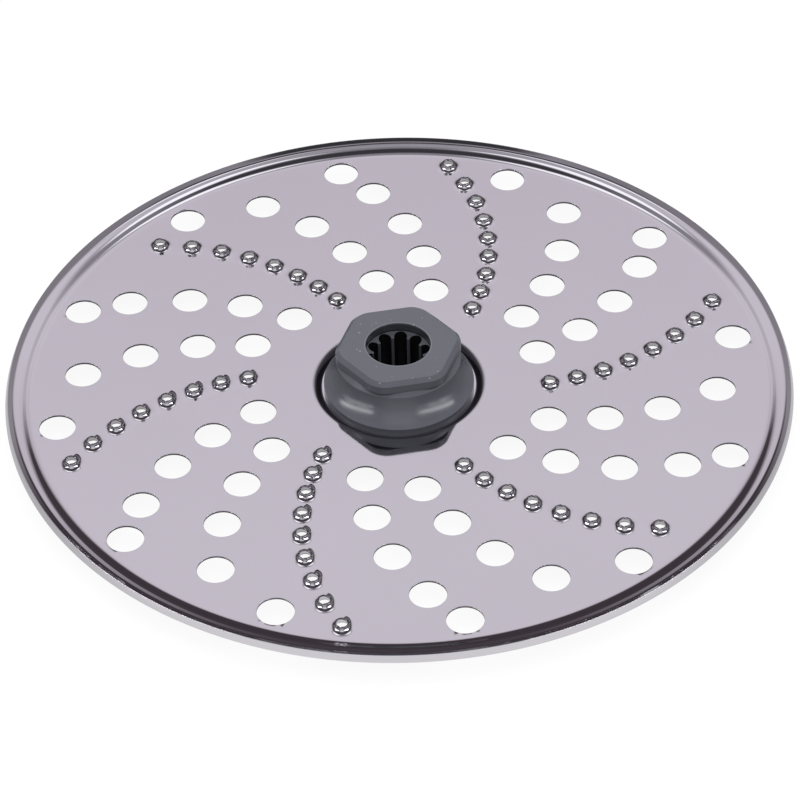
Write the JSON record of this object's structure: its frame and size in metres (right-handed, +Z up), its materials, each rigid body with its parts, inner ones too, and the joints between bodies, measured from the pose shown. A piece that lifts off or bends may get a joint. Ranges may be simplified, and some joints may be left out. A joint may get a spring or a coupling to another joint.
{
  "type": "food processor grating disc",
  "caption": "Round stainless grating disc with curved arms of burst teeth, rows of passage holes and a raised rim, on a plastic hub whose ribbed socket takes the drive shaft.",
  "frame": {"origin": "on the axis the disc turns on, in the plane of the hub's foot, which it rests on", "axes": "+Z up along the axis, towards the toothed side and the hub's grip; X and Y in the plane of the disc"},
  "size_m": [0.174, 0.174, 0.0189],
  "materials": {
    "polished_steel": "mirror polished stainless sheet",
    "grey_plastic": "glossy moulded plastic"
  },
  "bodies": {
    "root": {"grating_disc": "polished_steel", "drive_hub": "grey_plastic"}
  },
  "joints": []
}
